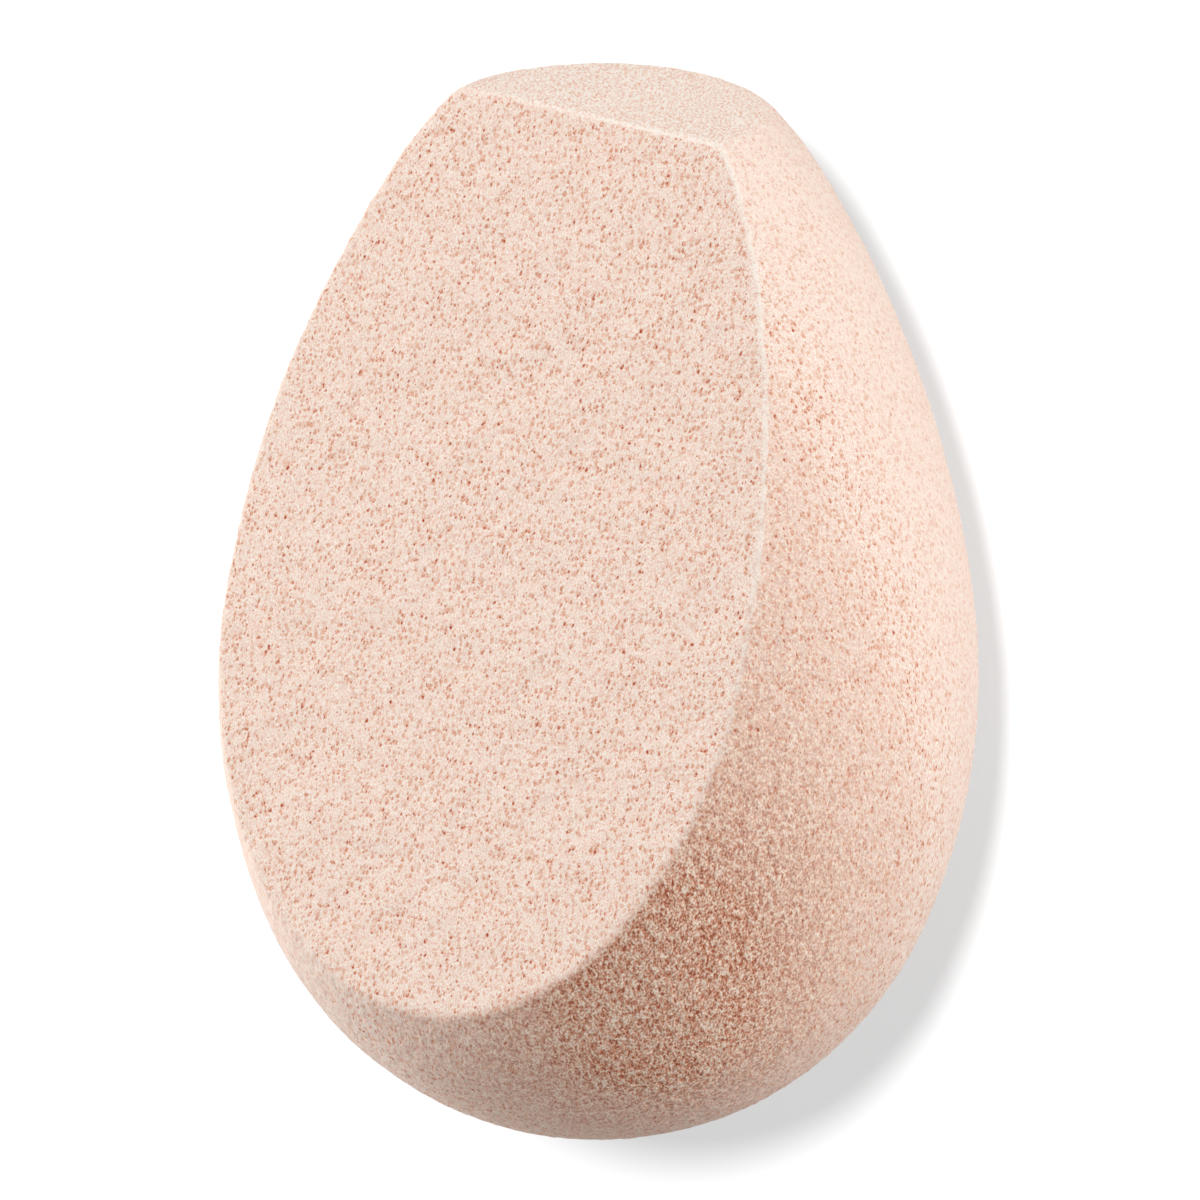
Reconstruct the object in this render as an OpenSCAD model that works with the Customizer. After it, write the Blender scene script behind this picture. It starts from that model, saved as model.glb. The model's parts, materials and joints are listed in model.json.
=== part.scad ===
// Makeup sponge: one block of soft open-cell foam, shaped like an egg.
// A slanting working face is sliced off one side, and the narrow end is sliced off square.
// It lies on its rounded back with the working face up and the narrow end towards +X.
// All sizes are in millimetres and all angles in degrees.

/* [Egg] */
// Diameter at the widest level
belly_d = 42; // [38:0.5:48]
// Length from the widest level to the round end
round_end_len = 25.7; // [23:0.1:28]
// Length from the widest level to the cut tip
tip_len = 33.4; // [31:0.1:37]
// Radius of the outline round the widest level
belly_arc_r = 36; // [30:0.5:48]
// Radius of the outline along the straighter side
side_arc_r = 67; // [52:1:78]
// Radius of the outline at the shoulder, below the cut tip
shoulder_arc_r = 28; // [22:0.5:40]
// Slope of the outline where the belly passes into the side
side_start = 9.4; // [6:0.1:13]
// Slope of the outline where the side passes into the shoulder
shoulder_start = 29.7; // [24:0.1:33]

/* [Cuts] */
// Radius of the soft rim round the cut tip
tip_rim_r = 1.5; // [0.5:0.1:3]
// Lean of the working face towards the tip
face_lean = 20.5; // [12:0.5:28]
// Distance from the middle of the widest level to the working face
face_dist = 13.2; // [10:0.1:17]
// Depth of the flat that the back lies on
rest_depth = 0.5; // [0.3:0.1:1]

/* [Hidden] */
$fn = 180;

foam_colour = [0.93, 0.82, 0.76];

// The outline turns by no more than this from one of its points to the next
arc_step = 3;

belly_r = belly_d / 2;
// A length that passes clear of the whole sponge, for the blocks that slice it
clear_len = belly_d + round_end_len + tip_len;

// The outline is a chain of arcs, each tangent to the next, in [radius, height] from the
// middle of the widest level. An angle is the direction of the outline's normal, which is
// 0 at the widest level and 90 at the tip.
function toward(angle) = [cos(angle), sin(angle)];

// The points of an arc after its first, which is the last point of the arc before
function arc(centre, r, from, to) =
    let (steps = ceil((to - from) / arc_step))
    [for (i = [1 : steps]) centre + r * toward(from + (to - from) * i / steps)];

// The round end is an arc centred on the axis. Where it passes into the belly's arc
// follows from its depth, because the two arcs are tangent there.
depth_share = (belly_arc_r - round_end_len) / (belly_arc_r - belly_r);
belly_start = -2 * atan((1 - depth_share) / (1 + depth_share));
round_arc_r = belly_arc_r - (belly_arc_r - belly_r) / cos(belly_start);

round_centre = [0, round_arc_r - round_end_len];
belly_centre = [belly_r - belly_arc_r, 0];
side_centre = belly_centre + (belly_arc_r - side_arc_r) * toward(side_start);
shoulder_centre = side_centre + (side_arc_r - shoulder_arc_r) * toward(shoulder_start);

// The soft rim is tangent to the shoulder and to the flat of the tip
rim_rise = tip_len - tip_rim_r - shoulder_centre[1];
rim_start = asin(rim_rise / (shoulder_arc_r - tip_rim_r));
rim_centre = shoulder_centre + (shoulder_arc_r - tip_rim_r) * toward(rim_start);

// Half of the egg's outline, from the round end to the middle of the tip
half_outline = concat(
    [[0, -round_end_len]],
    arc(round_centre, round_arc_r, -90, belly_start),
    arc(belly_centre, belly_arc_r, belly_start, 0),
    arc(belly_centre, belly_arc_r, 0, side_start),
    arc(side_centre, side_arc_r, side_start, shoulder_start),
    arc(shoulder_centre, shoulder_arc_r, shoulder_start, rim_start),
    arc(rim_centre, tip_rim_r, rim_start, 90),
    [[0, tip_len]]
);

// The egg before it is sliced, with its axis along X and its narrow end towards +X
module egg() {
    rotate([0, 90, 0]) rotate_extrude() polygon(half_outline);
}

// A block that takes away all that lies above a level
module block_above(level) {
    translate([-clear_len, -clear_len, level]) cube([2 * clear_len, 2 * clear_len, clear_len]);
}

// The foam block: the egg without its working slice and without a sliver of its back,
// set down so that the origin is on the table, midway between its two ends
module sponge_body() {
    color(foam_colour)
        translate([(round_end_len - tip_len) / 2, 0, belly_r - rest_depth])
            difference() {
                egg();
                rotate([0, face_lean, 0]) block_above(face_dist);
                rotate([180, 0, 0]) block_above(belly_r - rest_depth);
            }
}

sponge_body();
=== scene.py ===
import json
import math

import bpy
import numpy as np
from mathutils import Matrix, Vector


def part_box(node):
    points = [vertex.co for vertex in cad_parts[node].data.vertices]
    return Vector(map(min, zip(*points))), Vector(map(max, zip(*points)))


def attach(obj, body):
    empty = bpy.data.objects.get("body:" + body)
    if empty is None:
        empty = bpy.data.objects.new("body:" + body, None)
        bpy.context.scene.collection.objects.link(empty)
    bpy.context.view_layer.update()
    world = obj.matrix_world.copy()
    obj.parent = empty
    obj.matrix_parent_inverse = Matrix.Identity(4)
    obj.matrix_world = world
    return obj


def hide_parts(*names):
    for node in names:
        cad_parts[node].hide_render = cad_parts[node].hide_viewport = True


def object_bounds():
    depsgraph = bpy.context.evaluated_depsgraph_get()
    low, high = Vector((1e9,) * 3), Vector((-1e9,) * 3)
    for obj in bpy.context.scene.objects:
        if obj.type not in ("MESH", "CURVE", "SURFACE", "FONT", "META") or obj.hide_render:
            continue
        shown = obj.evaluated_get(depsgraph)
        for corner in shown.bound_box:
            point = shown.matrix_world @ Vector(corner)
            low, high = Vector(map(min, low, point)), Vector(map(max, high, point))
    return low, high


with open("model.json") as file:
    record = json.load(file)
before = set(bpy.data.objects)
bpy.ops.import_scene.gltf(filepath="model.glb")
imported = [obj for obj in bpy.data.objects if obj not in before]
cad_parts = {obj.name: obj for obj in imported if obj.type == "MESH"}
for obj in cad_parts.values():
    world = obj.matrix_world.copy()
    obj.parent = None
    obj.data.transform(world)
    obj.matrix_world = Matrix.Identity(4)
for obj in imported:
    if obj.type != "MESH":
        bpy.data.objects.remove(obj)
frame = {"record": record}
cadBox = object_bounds()
print("frame loaded, box", cadBox)

metre = 0.001  # the shapes below are worked out in millimetres

# The camera stands at the photograph's view of the sponge, looking down on its sliced face
viewpoint = {
    "place": (119.037, -169.840, 257.876),  # millimetres, in the frame of the part
    "looksAlong": (-0.374145, 0.539576, -0.754237),
    "up": (0.92155, 0.23722, -0.30735),
    "lens": 171.26,
    "sensor": 36.0,
    "clip": (0.01, 20.0),  # metres
}


def placeCamera(spec):
    # A camera looks along its own -Z, with its own +Y up
    back = -Vector(spec["looksAlong"]).normalized()
    right = Vector(spec["up"]).cross(back).normalized()
    up = back.cross(right)
    data = bpy.data.cameras.new("camera")
    data.lens = spec["lens"]
    data.sensor_width = spec["sensor"]
    data.clip_start, data.clip_end = spec["clip"]
    camera = bpy.data.objects.new("camera", data)
    turn = Matrix((right, up, back)).transposed().to_4x4()
    camera.matrix_world = Matrix.Translation(Vector(spec["place"]) * metre) @ turn
    bpy.context.scene.collection.objects.link(camera)
    bpy.context.scene.camera = camera


placeCamera(viewpoint)

# The egg, in millimetres and degrees: its outline is a chain of arcs, each tangent to the next
egg = {
    "roundEnd": 25.7,  # from the widest level to the round end
    "bellyArc": 36.0,
    "sideArc": 67.0,
    "shoulderArc": 28.0,
    "tipArc": 1.5,  # the soft rim round the cut tip
    "sideStart": 9.4,  # slope where the belly passes into the side
    "shoulderStart": 29.7,
    "restDepth": 0.5,  # the flat that the back has settled to
    "creaseRound": 0.28,  # softness of the edge round the sliced face
    "restRound": 0.5,
}

# The foam's cells are longer one way, and the knife leaves them open as pores. Lengths are in
# millimetres
foam = {
    "gridSide": 330,  # quads along a side of each of the mesh's six patches
    "quickSide": 150,
    "middle": (2.0, 0.0, -1.5),  # where the mesh's rays start, from the middle of the widest level
    "rise": (0.926, -0.211, 0.313),  # the way that the cells are longest
    "stretch": 1.5,
    # One pore to a cell. The tint darkens it with painted shade, and the tip and the edge take their
    # shares away
    "large": {"cell": 0.70, "radius": (0.12, 0.19), "deepest": 0.04, "seed": 11, "poreShade": 0.08,
              "tipTakes": 1.0, "edgeTakes": 1.0},
    "medium": {"cell": 0.45, "radius": (0.08, 0.14), "deepest": 0.02, "seed": 23, "poreShade": 0.04,
               "tipTakes": 0.7, "edgeTakes": 0.75},
    # Each unevenness: how far, over what width, and the seed that it is drawn from
    "ragged": (0.07, 0.30, 61),  # the pores' rims stray from round
    "lumps": (0.06, 4.0, 51),  # the surface rises and falls gently
    "rough": (0.035, 0.35, 52),  # and finely
    "wobble": (0.08, 1.6, 71),  # the knife wanders
    "frayed": (0.08, 0.4, 53),  # the pale line along the edge, partly a painted highlight, changes its width
    "strayOver": 0.25,  # the drawn patterns stray over this width
    # Where each of these begins and where it is whole
    "faceFrom": (-0.1, 0.2),  # the sliced face, inwards from its edge
    "tipAcross": (-1.2, 0.2),  # the cut tip, inwards from its rim
    "tipDown": (0.8, 0.2),  # and up from below it
    "edgeClosed": (0.3, 0.0),  # the closed foam along the edge, towards the edge
    "edgePaleAndLit": (0.24, 0.08),  # the pale line there, partly a painted highlight
    "edgeAlong": (-9, 15),  # both fade in along X
    "edgeAcross": (7, -3),  # and along Y
    # How open the cells are by how far the surface faces this way, at most 1 for tight foam and 2
    # for open foam: the back and the far side are tight, and it opens between the sliced face and
    # the round end. This way is the one that the lamps leave darkest, so the open foam is partly the
    # foam's coarser cells and partly painted shade, darker where the surface faces away from the light
    "openAndShadedTowards": (-0.30, -0.68, 0.65),
    "openAndShadedBy": ((-0.8, -0.3, 0.1, 0.44, 0.52, 0.68, 0.83, 0.93, 0.96),
               (0.8, 0.7, 0.4, 0.55, 0.68, 1.15, 1.4, 1.75, 2.0)),
}


def toward(angle):
    return np.array([math.cos(angle), math.sin(angle)])


def outlineArcs(spec, bellyRadius, tipEnd):
    # Each arc as centre, radius, first and last slope, in (distance from the axis, place along it)
    side, shoulder = math.radians(spec["sideStart"]), math.radians(spec["shoulderStart"])
    share = (spec["bellyArc"] - spec["roundEnd"]) / (spec["bellyArc"] - bellyRadius)
    belly = -2 * math.atan((1 - share) / (1 + share))
    roundRadius = spec["bellyArc"] - (spec["bellyArc"] - bellyRadius) / math.cos(belly)
    roundCentre = np.array([0, roundRadius - spec["roundEnd"]])
    bellyCentre = np.array([bellyRadius - spec["bellyArc"], 0])
    sideCentre = bellyCentre + (spec["bellyArc"] - spec["sideArc"]) * toward(side)
    shoulderCentre = sideCentre + (spec["sideArc"] - spec["shoulderArc"]) * toward(shoulder)
    rise = tipEnd - spec["tipArc"] - shoulderCentre[1]
    rim = math.asin(rise / (spec["shoulderArc"] - spec["tipArc"]))
    rimCentre = shoulderCentre + (spec["shoulderArc"] - spec["tipArc"]) * toward(rim)
    return [
        (roundCentre, roundRadius, -math.pi, belly),
        (bellyCentre, spec["bellyArc"], belly, side),
        (sideCentre, spec["sideArc"], side, shoulder),
        (shoulderCentre, spec["shoulderArc"], shoulder, rim),
        (rimCentre, spec["tipArc"], rim, math.pi / 2),
    ]


class Solid:
    # The sponge as a distance field: below zero inside, zero on the surface, above zero outside
    def __init__(self, spec):
        low, high = (np.array(corner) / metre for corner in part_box("sponge_body"))
        self.low, self.high = low, high
        mounts = {mount["name"]: mount for mount in frame["record"]["mounts"]}
        self.bellyRadius = (high[1] - low[1]) / 2
        self.axisHeight = self.bellyRadius - spec["restDepth"]
        self.widest = low[0] + spec["roundEnd"]  # where the egg is widest, along X
        self.tipEnd = high[0] - self.widest
        self.arcs = outlineArcs(spec, self.bellyRadius, self.tipEnd)
        self.planes = []  # the sliced face and the flat below
        for name, soft in (("working_face", "creaseRound"), ("rest_back", "restRound")):
            place = np.array(mounts[name]["pos_m"]) / metre
            axis = np.array(mounts[name]["axis"])
            self.planes.append((axis, place @ axis, spec[soft]))

    def eggDistance(self, point):
        # Distance from the arc in whose sector the point lies, or from the cut tip inside its rim.
        # Deep inside, where no arc's sector reaches, it only has to be well below zero
        along = point[..., 0] - self.widest
        out = np.hypot(point[..., 1], point[..., 2] - self.axisHeight)
        found = np.maximum(along - self.tipEnd, -self.bellyRadius / 4)
        for centre, radius, first, last in self.arcs:
            outward, onward = out - centre[0], along - centre[1]
            slope = np.arctan2(onward, outward)
            here = (slope >= first) & (slope <= last)
            found[here] = np.hypot(outward, onward)[here] - radius
        return found

    def distance(self, point, wobble=0.0):
        # The largest of the three distances, eased into each other where two of them meet
        found = self.eggDistance(point)
        for axis, reach, soft in self.planes:
            flat = point @ axis - reach + wobble
            meet = np.maximum(soft - np.abs(found - flat), 0)
            found = np.maximum(found, flat) + meet ** 2 / (4 * soft)
        return found


def cubeGrid(side):
    # Points of a cube's six faces, as whole numbers from -side to side so that shared edges match,
    # with four corners for each quad and the six tiles of a map, three across and two down
    margin = 0.01  # left free round each tile
    step = np.arange(side + 1)
    across, up = np.meshgrid(step, step, indexing="ij")
    corner = (across[:-1, :-1] * (side + 1) + up[:-1, :-1]).ravel()
    quad = np.stack([corner, corner + side + 1, corner + side + 2, corner + 1], 1)
    points, quads, tiles = [], [], []
    for tile in range(6):
        axis, sign = tile % 3, 1 - 2 * (tile // 3)
        face = np.zeros((across.size, 3), np.int64)
        face[:, axis] = sign * side
        face[:, (axis + 1) % 3] = sign * (2 * across.ravel() - side)
        face[:, (axis + 2) % 3] = 2 * up.ravel() - side
        quads.append(quad + len(points) * across.size)
        points.append(face)
        spot = np.stack([across.ravel(), up.ravel()], 1) / side * (1 - 2 * margin) + margin
        tiles.append((spot + [tile % 3, tile // 3]) / [3, 2])
    return np.concatenate(points), np.concatenate(quads), np.concatenate(tiles)


def scatter(cell, seed):
    # A number from 0 to 1 for each whole-numbered cell, the same in every run: its three numbers
    # are multiplied by large ones and their bits mixed
    x, y, z = (cell[..., i].astype(np.int64).astype(np.uint32) for i in range(3))
    mixed = x * np.uint32(73856093) ^ y * np.uint32(19349663) ^ z * np.uint32(83492791)
    mixed ^= np.uint32(seed * 7919 + 13)
    for shift, factor in ((15, 0x2C1B3C6D), (12, 0x297A2D39), (15, 0x6C078965)):
        mixed = (mixed ^ (mixed >> np.uint32(shift))) * np.uint32(factor)
    return (mixed ^ (mixed >> np.uint32(16))) / 2.0 ** 32


def softNoise(point, width, seed):
    # Random numbers on a lattice, eased from corner to corner: from -1 to 1
    at = point / width
    cell = np.floor(at)
    part = at - cell
    part = part * part * (3 - 2 * part)
    total = np.zeros(point.shape[:-1])
    for corner in np.ndindex(2, 2, 2):
        weight = np.prod(np.where(corner, part, 1 - part), -1)
        total += weight * scatter(cell + corner, seed)
    return 2 * total - 1


def uneven(point, spec):
    # Soft noise of a given height, width and seed
    far, width, seed = spec
    return far * softNoise(point, width, seed)


def ease(value, start, end):
    # From 0 at the start to 1 at the end, level at both
    part = np.clip((value - start) / (end - start), 0, 1)
    return part * part * (3 - 2 * part)


def boreBubbles(point, normal, spec):
    # One bubble in each cell of a lattice, at a random place and of a random size, wide ones being
    # fewer. Where the surface cuts a bubble it leaves a round pore: returns 1 in the middle of the
    # widest pores, 0 outside
    width = spec["cell"]
    small, big = spec["radius"]
    cell = np.floor(point / width)
    inside = np.zeros(len(point))
    for near in np.ndindex(3, 3, 3):
        other = cell + np.array(near) - 1
        radius = small + (big - small) * scatter(other, spec["seed"] + 3) ** 1.5
        centre = np.stack([scatter(other, spec["seed"] + i) for i in range(3)], -1)
        away = point - (other + centre) * width
        out = np.einsum("ij,ij->i", away, normal)
        across = np.einsum("ij,ij->i", away, away) - out ** 2
        mouth = np.maximum(radius ** 2 - out ** 2, 0)
        found = np.sqrt(mouth) / radius * ease(across / np.maximum(mouth, 1e-6), 1.0, 0.1)
        inside = np.maximum(inside, found)
    return inside


def smoothSurface(solid, spec, way):
    # Where the distance field is zero along each ray from the egg's middle, the surface's normal
    # there, and how far the knife has wandered
    ray = way / np.linalg.norm(way, axis=1, keepdims=True)
    ray *= solid.high - solid.low
    ray /= np.linalg.norm(ray, axis=1, keepdims=True)
    middle = np.array([solid.widest, 0, solid.axisHeight]) + spec["middle"]
    reach = np.full(len(ray), np.linalg.norm(solid.high - solid.low) * 0.6)  # outside the sponge
    wobble = 0.0
    probe = 0.01  # how far from a point the field is read again, for its slope
    for turn in range(9):
        # The first turns come near, the fourth settles how the knife wanders there, and the others
        # divide by the slope along the ray, which is kept from being small
        here = middle + ray * reach[:, None]
        found = solid.distance(here, wobble)
        slope = 1.0
        if turn == 3:
            wobble = uneven(here, spec["wobble"])
        if turn > 3:
            slope = np.maximum((solid.distance(here + ray * probe, wobble) - found) / probe, 0.2)
        reach -= found / slope
    point = middle + ray * reach[:, None]
    normal = np.stack([solid.distance(point + step, wobble) - solid.distance(point - step, wobble)
                       for step in np.eye(3) * 2 * probe], 1)
    normal /= np.linalg.norm(normal, axis=1, keepdims=True)
    print("smooth surface found,", len(point), "points")
    return point, normal, wobble


def spongeSurface(solid, spec, side):
    # Each point of a cube's grid gives a ray, and so a point of the smooth surface. Unevenness and
    # pores then move these points along the normal
    lattice, quads, tiles = cubeGrid(side)
    key = (lattice + side) @ np.array([(2 * side + 1) ** 2, 2 * side + 1, 1])
    first, number = np.unique(key, return_index=True, return_inverse=True)[1:]
    way = np.tan(lattice[first] / side * math.pi / 4)
    point, normal, wobble = smoothSurface(solid, spec, way)

    # How far the point is from the egg's skin, the sliced face, the cut tip and the tip's rim
    axis, level = solid.planes[0][:2]
    eggGap, faceGap = -solid.eggDistance(point), level - point @ axis - wobble
    tipGap = solid.high[0] - point[:, 0]
    rimGap = solid.arcs[-1][0][0] - np.hypot(point[:, 1], point[:, 2] - solid.axisHeight)
    onFace = ease(eggGap - faceGap, *spec["faceFrom"])
    onTip = (1 - onFace) * ease(rimGap, *spec["tipAcross"]) * ease(tipGap, *spec["tipDown"])
    # The edge round the sliced face is pale and closed on the near side, most towards the tip. Its pale
    # line is partly the closed foam's own colour and partly a painted highlight
    crease = np.maximum(faceGap, eggGap)
    nearSide = ease(point[:, 0], *spec["edgeAlong"]) * ease(point[:, 1], *spec["edgeAcross"])
    closed = nearSide * ease(crease, *spec["edgeClosed"])

    rise = np.array(spec["rise"])
    rise /= np.linalg.norm(rise)
    squeezed = point + np.outer(point @ rise, rise) * (1 / spec["stretch"] - 1)
    far, width, seed = spec["ragged"]
    ragged = squeezed + np.stack([uneven(squeezed, (far, width, seed + i)) for i in range(3)], 1)
    sunk, pore = np.zeros(len(point)), np.zeros(len(point))
    for name in ("large", "medium"):
        kind = spec[name]
        left = (1 - kind["tipTakes"] * onTip) * (1 - kind["edgeTakes"] * closed)
        inside = boreBubbles(ragged, normal, kind) * left
        sunk = np.maximum(sunk, kind["deepest"] * inside)
        # The pore's painted shade, which darkens its colour
        pore = np.maximum(pore, kind["poreShade"] * inside)
        print(name, "pores bored, they take up", round(float((inside > 0).mean()), 2))
    height = uneven(point, spec["lumps"]) + uneven(squeezed, spec["rough"]) - sunk
    point = point + normal * height[:, None]
    # Partly painted shade: the foam is made more open and darker where it faces the shaded way
    openAndShaded = np.interp(normal @ spec["openAndShadedTowards"], *spec["openAndShadedBy"]) * (1 - onFace) + onFace
    edge = nearSide * ease(crease + uneven(squeezed, spec["frayed"]), *spec["edgePaleAndLit"])
    marks = {"pore": pore, "openAndShaded": openAndShaded, "tip": onTip, "crease": edge}
    return point * metre, quads, number, tiles, marks


def makeMesh(name, point, quads, number, tiles, marks):
    mesh = bpy.data.meshes.new(name)
    corners = number[quads].astype(np.int32)
    mesh.vertices.add(len(point))
    mesh.vertices.foreach_set("co", point.astype(np.float32).ravel())
    mesh.loops.add(corners.size)
    mesh.loops.foreach_set("vertex_index", corners.ravel())
    mesh.polygons.add(len(corners))
    mesh.polygons.foreach_set("loop_start", np.arange(0, corners.size, 4, dtype=np.int32))
    mesh.update(calc_edges=True)
    layer = mesh.uv_layers.new(name="OFBake")
    layer.uv.foreach_set("vector", tiles[quads].astype(np.float32).ravel())
    for mark, values in marks.items():
        field = mesh.attributes.new(mark, "FLOAT", "POINT")
        field.data.foreach_set("value", values.astype(np.float32))
    mesh.shade_smooth()
    mesh.validate()
    piece = bpy.data.objects.new(name, mesh)
    bpy.context.scene.collection.objects.link(piece)
    return piece


class Shade:
    # A socket of a graph of nodes, or the graph alone. Sums and products of these add Math nodes
    def __init__(self, tree, socket=None):
        self.tree = tree
        self.socket = socket

    def node(self, kind, settings=None, values=None, out=0):
        made = self.tree.nodes.new("ShaderNode" + kind)
        for name, value in (settings or {}).items():
            setattr(made, name, value)
        for name, value in (values or {}).items():
            if isinstance(value, Shade):
                self.tree.links.new(value.socket, made.inputs[name])
            else:
                made.inputs[name].default_value = value
        return Shade(self.tree, made.outputs[out] if made.outputs else None)

    def math(self, operation, *values):
        return self.node("Math", {"operation": operation}, dict(enumerate(values)))

    def __add__(self, other):
        return self.math("ADD", self, other)

    def __radd__(self, other):
        return self.math("ADD", other, self)

    def __sub__(self, other):
        return self.math("SUBTRACT", self, other)

    def __rsub__(self, other):
        return self.math("SUBTRACT", other, self)

    def __mul__(self, other):
        return self.math("MULTIPLY", self, other)

    def __rmul__(self, other):
        return self.math("MULTIPLY", other, self)

    def most(self, other):
        return self.math("MAXIMUM", self, other)

    def least(self, other):
        return self.math("MINIMUM", self, other)

    def output(self, name):
        # Another output of the same node
        return Shade(self.tree, self.socket.node.outputs[name])

    def eased(self, start, end):
        return self.node("MapRange", {"interpolation_type": "SMOOTHSTEP"},
                         {"Value": self, "From Min": start, "From Max": end})

    def blend(self, first, second):
        # From the first colour to the second, as this value goes from 0 to 1. A Mix node has sockets
        # for every kind of value, and these numbers are those for colours
        return self.node("Mix", {"data_type": "RGBA"}, {0: self, 6: first, 7: second}, out=2)


def linear(*shown):
    # A colour as a picture shows it, 11 to 255, as the light it stands for
    return tuple(((c / 255 + 0.055) / 1.055) ** 2.4 for c in shown) + (1.0,)


# Each foam's pattern is worked out as a depth, which gives its colour: the first of its three
# colours is that of paleDepth, the next that of 0.5 and the last that of 1. The deeper, the darker
# and redder, which paints shade into the pores, cells and holes, while grain and patches vary the
# foam's own tone. Widths are in millimetres, and radii and rims are shares of a cell
paleDepth = -0.15
tightFoam = {  # the sliced face and the skin: oval pores, darkened with painted shade, in a pale ground
    "colours": (linear(255, 243, 232), linear(233, 174, 145), linear(180, 72, 46)),
    "base": 0.045,
    "stretch": 1.9,
    "ragged": 0.12,  # how far the rims stray
    "poreCell": 0.26,
    "poreRadius": (0.27, 0.51),
    "poreRim": (-0.12, 0.072),  # from inside the pore's radius to outside it
    "poreDepth": 0.30,
    "poreVary": (0.65, 1.35),  # from the shallowest pores to the deepest
    "spotDepth": 0.30,  # a darker spot set to one side in some pores: painted shade
    "shadedSide": (0.03, 0.0, -0.05),
    "spotRadius": 0.5,  # of the pore's
    "spotRim": (-0.12, 0.06),
    "holeCell": 0.24,  # tiny holes between the pores
    "holeRadius": 0.36,
    "holeRim": (-0.05, 0.08),
    "holeShare": 0.6,  # of the cells
    "holeDepth": 0.55,
    "grain": 0.075,
    "grainStretch": 3.0,
    "grainDepth": 0.95,
    "heights": (0.6, 0.7, 0.5),  # of grain, spots and holes, where a pore is 1 deep
    "relief": 0.015,
}
openFoamAndShade = {  # below the sliced face: cells packed side by side between pale struts; its deeper base and darker colours are partly painted shade
    "colours": (linear(255, 237, 218), linear(222, 163, 134), linear(172, 90, 62)),
    "base": 0.50,
    "stretch": 1.5,
    "ragged": 0.15,
    "cell": 0.30,
    "cellDepth": 0.47,
    "strut": (0.1, 0.8),  # from the cell's hollow to the strut round it
    "smallCell": 0.20,
    "smallDepth": 0.39,
    "spotDepth": 0.3,  # a hole in the middle of some cells
    "spotRim": (0.05, 0.22),
    "grain": 0.10,
    "grainDepth": 1.75,
    "patch": 0.9,  # slow change from place to place
    "patchDepth": 0.1,
    "heights": (0.6, 0.6),  # of grain and small cells, where a strut is 1 high
    "relief": 0.03,
}
tipFoam = {"grain": 0.12, "grainDepth": 1.2, "rise": (0, 0.61, -0.79), "stretch": 2.5}
edgeFoam = {"hides": 0.85, "palerAndLit": 0.2}  # how much it hides the pores, and how much paler it is, partly as a painted highlight
foamFinish = {"Roughness": 0.9, "Specular IOR Level": 0.15}


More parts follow.
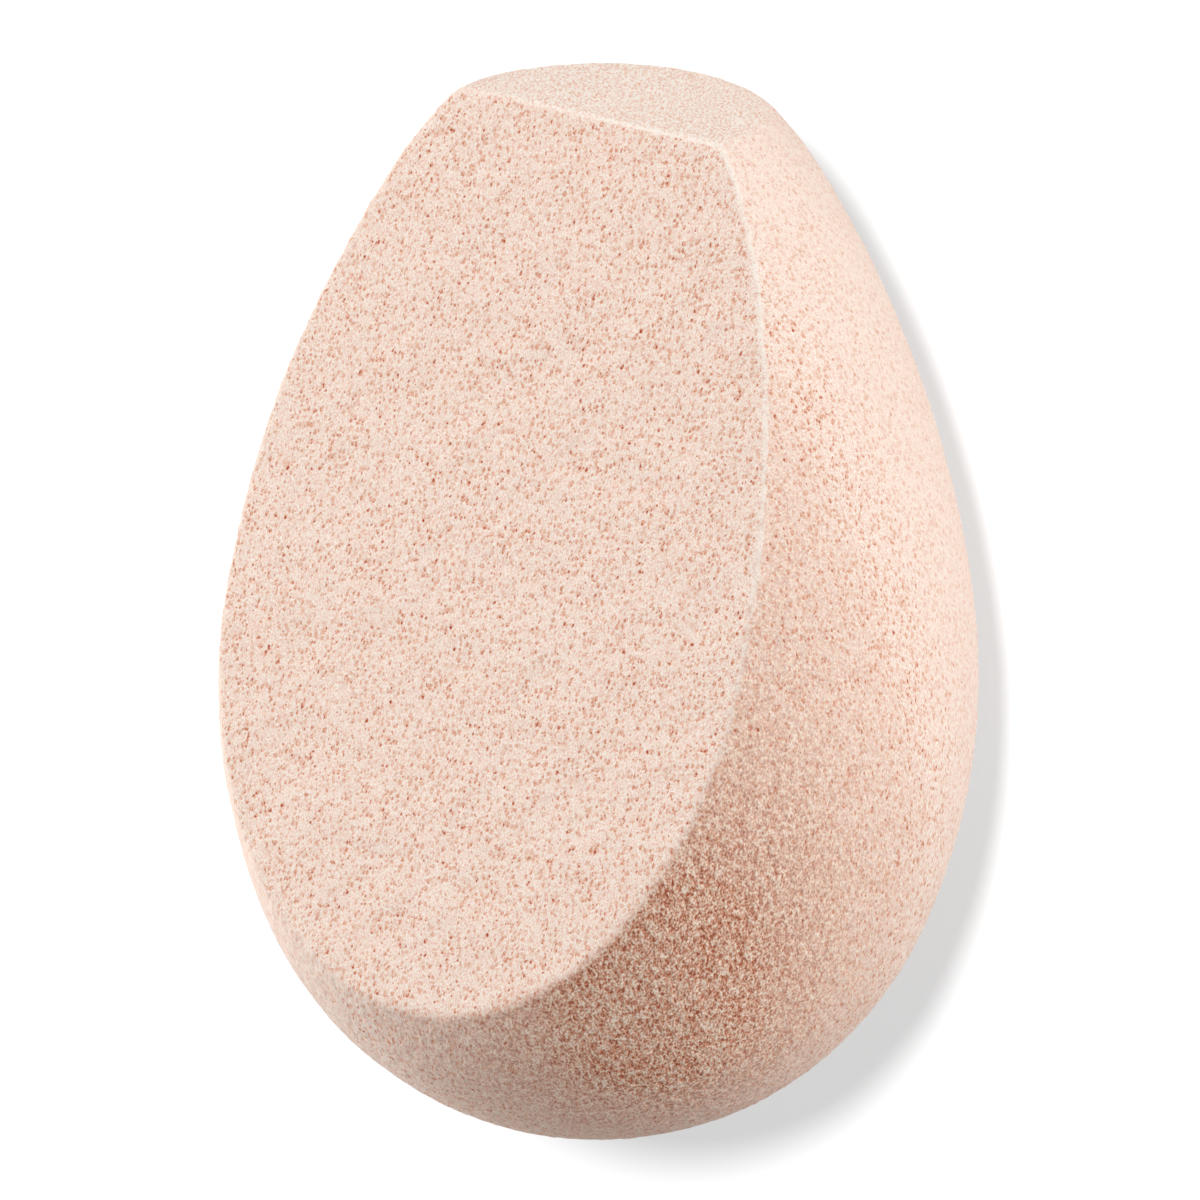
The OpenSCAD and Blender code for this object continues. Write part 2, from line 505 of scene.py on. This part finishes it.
def foamMaterial(spec, tight, looseAndShade, tip, edge, finish):
    material = bpy.data.materials.new("foam")
    material.use_nodes = True
    tree = material.node_tree
    tree.nodes.clear()
    graph = Shade(tree)
    place = graph.node("TexCoord").output("Object")

    def moved(at, by):
        return graph.node("VectorMath", {"operation": "ADD"}, {0: at, 1: by})

    def scaled(vector, by):
        return graph.node("VectorMath", {"operation": "SCALE"}, {0: vector, "Scale": by})

    def squeezed(way, stretch):
        # What is round in these coordinates is stretched in the foam
        way = Vector(way).normalized()
        along = graph.node("VectorMath", {"operation": "DOT_PRODUCT"}, {0: place, 1: way})
        return moved(place, scaled(way, along.output("Value") * (1 / stretch - 1)))

    def ragged(at, far):
        # The same coordinates, straying this far from even
        scale = 1 / (spec["strayOver"] * metre)
        stray = graph.node("TexNoise", {}, {"Vector": at, "Scale": scale, "Detail": 1.0})
        return moved(at, scaled(stray.output("Color"), far * metre))

    def noise(at, width):
        # From -0.5 to 0.5
        scale = 1 / (width * metre)
        return graph.node("TexNoise", {}, {"Vector": at, "Scale": scale, "Detail": 0.0}) - 0.5

    def cells(at, width):
        # How far from the cell's middle, and two numbers of the cell's own
        scale = 1 / (width * metre)
        away = graph.node("TexVoronoi", {"feature": "F1"}, {"Vector": at, "Scale": scale})
        lot = graph.node("SeparateColor", values={"Color": away.output("Color")})
        return away, lot, lot.output("Green")

    def coloured(deep, colours):
        first = ((deep - paleDepth) * (1 / (0.5 - paleDepth))).blend(colours[0], colours[1])
        return (deep * 2.0 - 1.0).blend(first, colours[2])

    marks = {name: graph.node("Attribute", {"attribute_name": name}).output("Fac")
             for name in ("pore", "openAndShaded", "tip", "crease")}
    seen = 1.0 - edge["hides"] * marks["crease"]  # how much of the pores the edge leaves

    def tightPattern():
        # Oval pores, a darker spot in some, tiny holes between them, and a fine grain over it all
        at = ragged(squeezed(spec["rise"], tight["stretch"]), tight["ragged"])
        away, lot, depth = cells(at, tight["poreCell"])
        small, big = tight["poreRadius"]
        radius = lot * (big - small) + small
        hollow = 1.0 - (away - radius).eased(*tight["poreRim"])
        least, most = tight["poreVary"]
        pore = hollow * ((most - least) * depth + least)
        # Painted shade on one side of some pores: the same cells, shifted aside
        aside = moved(at, Vector(tight["shadedSide"]) * metre)
        away, _, depth = cells(aside, tight["poreCell"])
        spot = (1.0 - (away - radius * tight["spotRadius"]).eased(*tight["spotRim"])) * hollow * depth
        away, lot = cells(at, tight["holeCell"])[:2]
        few = (lot - 1.0) * (1 / tight["holeShare"]) + 1.0
        hole = (few * tight["holeRadius"] - away).eased(*tight["holeRim"])
        grain = noise(squeezed(spec["rise"], tight["grainStretch"]), tight["grain"])
        deep = tight["poreDepth"] * pore + tight["spotDepth"] * spot
        deep = deep + tight["holeDepth"] * hole + marks["pore"]
        deep = deep * seen + tight["grainDepth"] * grain + tight["base"]
        # The tight pattern grows fainter and paler the further the surface faces from the shaded way
        deep = deep * marks["openAndShaded"].least(1.0)
        tipDeep = noise(squeezed(tip["rise"], tip["stretch"]), tip["grain"]) * tip["grainDepth"]
        # The pale line along the edge lifts the colour: partly a painted highlight
        deep = deep + marks["tip"] * (tipDeep - deep) - edge["palerAndLit"] * marks["crease"]
        grainHigh, spotHigh, holeHigh = tight["heights"]
        return deep, (grain * grainHigh - pore - spot * spotHigh - hole * holeHigh) * tight["relief"]

    def openPattern():
        # Two sizes of cells side by side, a hole in the middle of some, grain and slow patches
        even = squeezed(spec["rise"], looseAndShade["stretch"])
        at = ragged(even, looseAndShade["ragged"])
        away, _, depth = cells(at, looseAndShade["cell"])
        strut = away.eased(*looseAndShade["strut"])
        less = cells(at, looseAndShade["smallCell"])[0].eased(*looseAndShade["strut"])
        grain = noise(even, looseAndShade["grain"])
        spot = (1.0 - away.eased(*looseAndShade["spotRim"])) * depth
        deep = looseAndShade["base"] + looseAndShade["grainDepth"] * grain + looseAndShade["cellDepth"] * (0.5 - strut)
        deep = deep + looseAndShade["smallDepth"] * (0.5 - less) + looseAndShade["spotDepth"] * spot
        deep = deep + looseAndShade["patchDepth"] * noise(at, looseAndShade["patch"])
        grainHigh, lessHigh = looseAndShade["heights"]
        return deep, (grain * grainHigh + strut + less * lessHigh) * looseAndShade["relief"]

    wideAndShaded = (marks["openAndShaded"] - 1.0).most(0.0).least(1.0) * seen  # how far the open pattern, with its painted shade, shows
    tightDeep, tightHeight = tightPattern()
    openDeepAndShade, openHeight = openPattern()
    colour = wideAndShaded.blend(coloured(tightDeep, tight["colours"]), coloured(openDeepAndShade, looseAndShade["colours"]))
    height = tightHeight + wideAndShaded * (openHeight - tightHeight)
    shape = graph.node("Bump", {}, {"Height": height, "Distance": metre, "Strength": 1.0})
    surface = graph.node("BsdfPrincipled", {}, {"Base Color": colour, "Normal": shape, **finish})
    graph.node("OutputMaterial", {}, {"Surface": surface})
    return material


gridSide = foam["gridSide"]
sponge = makeMesh("sponge", *spongeSurface(Solid(egg), foam, gridSide))
sponge.data.materials.append(foamMaterial(foam, tightFoam, openFoamAndShade, tipFoam, edgeFoam, foamFinish))
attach(sponge, "root")
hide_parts("sponge_body")
print("sponge made,", len(sponge.data.polygons), "quads")

# Lengths are in metres here
studio = {
    "floorRadius": 1.2,
    "floorSides": 96,
    "floorColour": (0.28, 0.28, 0.28, 1.0),
    "floorSeen": (0.30, 0.30, 0.30, 1.0),  # for rays straight from the camera
    "floorLift": 0.64,  # which also see it lifted to white, with its shadow
    "lampAway": 0.9,
    # Azimuth and height in degrees, light and width
    "spongeLamps": {
        "far": (120, 32, 0.34, 0.5),
        "farLow": (120, 8, 0.15, 0.5),
        "back": (90, 32, 0.36, 0.5),
        "high": (60, 58, 0.09, 0.5),
        "tip": (30, 32, 0.48, 0.5),
        "near": (-60, 8, 0.82, 0.5),
        "nearLeft": (-120, 8, 0.27, 0.5),
    },
    "floorLamps": {"table": (-38, 54, 1.9, 0.09)},
}


def seenStraight(graph):
    # 1 for what the camera sees directly, in a mirror or through glass
    path = graph.node("LightPath")
    return path.most(path.output("Is Glossy Ray")).most(path.output("Is Transmission Ray"))


def makeFloor(spec):
    # A disc round the origin: points at even angles on one circle
    turn = np.linspace(0, 2 * np.pi, spec["floorSides"], endpoint=False)
    rim = np.stack([np.cos(turn), np.sin(turn), np.zeros_like(turn)], 1) * spec["floorRadius"]
    mesh = bpy.data.meshes.new("floor")
    mesh.from_pydata(rim.tolist(), [], [list(range(len(rim)))])
    floor = bpy.data.objects.new("floor", mesh)
    bpy.context.scene.collection.objects.link(floor)
    material = bpy.data.materials.new("floor")
    material.use_nodes = True
    material.node_tree.nodes.clear()
    graph = Shade(material.node_tree)
    seen = seenStraight(graph)
    colour = seen.blend(spec["floorColour"], spec["floorSeen"])
    matt = graph.node("BsdfDiffuse", values={"Color": colour})
    lift = graph.node("Emission", values={"Strength": seen * spec["floorLift"]})
    both = graph.node("AddShader", values={0: matt, 1: lift})
    graph.node("OutputMaterial", values={"Surface": both})
    mesh.materials.append(material)
    return floor


def makeWorld():
    world = bpy.data.worlds.new("world")
    bpy.context.scene.world = world
    world.use_nodes = True
    world.node_tree.nodes.clear()
    graph = Shade(world.node_tree)
    white = graph.node("Background", values={"Color": (1, 1, 1, 1), "Strength": seenStraight(graph)})
    graph.node("OutputWorld", values={"Surface": white})


def makeLamps(lamps, away, piece):
    # These lamps light one piece alone. A lamp of light 1 lights a surface that faces it so that
    # its colour shows as written
    lit = bpy.data.collections.new("lit " + piece.name)
    lit.objects.link(piece)
    aim = (Vector(cadBox[0]) + Vector(cadBox[1])) / 2
    for name, (azimuth, height, light, width) in lamps.items():
        turn, rise = math.radians(azimuth), math.radians(height)
        way = Vector((math.cos(turn) * math.cos(rise), math.sin(turn) * math.cos(rise), math.sin(rise)))
        data = bpy.data.lights.new(name, "AREA")
        data.shape = "DISK"
        data.size = width
        data.energy = light * (math.pi * away) ** 2
        lamp = bpy.data.objects.new(name, data)
        turned = way.to_track_quat("Z", "Y").to_matrix().to_4x4()
        lamp.matrix_world = Matrix.Translation(aim + way * away) @ turned
        lamp.visible_camera = False
        lamp.light_linking.receiver_collection = lit
        bpy.context.scene.collection.objects.link(lamp)


makeWorld()
floor = makeFloor(studio)
makeLamps(studio["spongeLamps"], studio["lampAway"], sponge)
makeLamps(studio["floorLamps"], studio["lampAway"], floor)
bpy.context.scene.view_settings.view_transform = "Standard"
print("studio set up")
